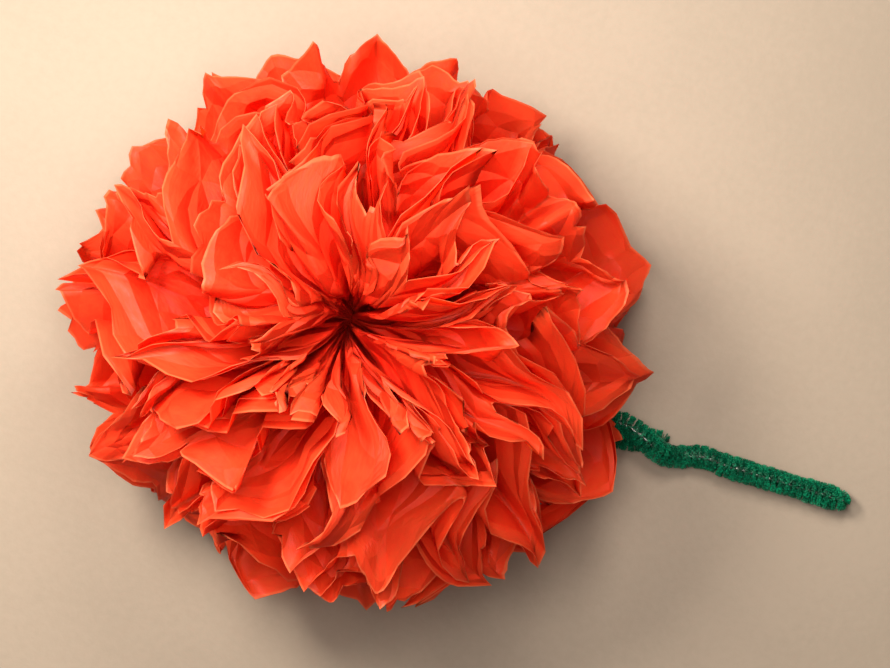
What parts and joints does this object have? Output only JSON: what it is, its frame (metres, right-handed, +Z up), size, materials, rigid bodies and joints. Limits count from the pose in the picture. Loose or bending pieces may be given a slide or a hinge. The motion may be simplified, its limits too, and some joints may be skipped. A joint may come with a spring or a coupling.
{
  "type": "paper marigold flower",
  "caption": "Full round flower of pleated, pointed tissue paper layers tied at the middle by a fuzzy wire stem that bends out sideways.",
  "frame": {"origin": "centre of the bounding box, on the surface that the flower lies on", "axes": "+X along the stem from the flower to its free end, +Z up through the middle of the flower, +Y to the left of the stem"},
  "size_m": [0.2204, 0.1486, 0.093],
  "materials": {
    "tissue": "matt thin tissue paper, light shows through single layers",
    "pile": "dense short fibre pile on a twisted wire core"
  },
  "bodies": {
    "root": {"sheet_1": "tissue", "sheet_2": "tissue", "sheet_3": "tissue", "sheet_4": "tissue", "sheet_5": "tissue", "sheet_6": "tissue", "sheet_7": "tissue", "sheet_8": "tissue", "chenille_stem": "pile"}
  },
  "joints": []
}
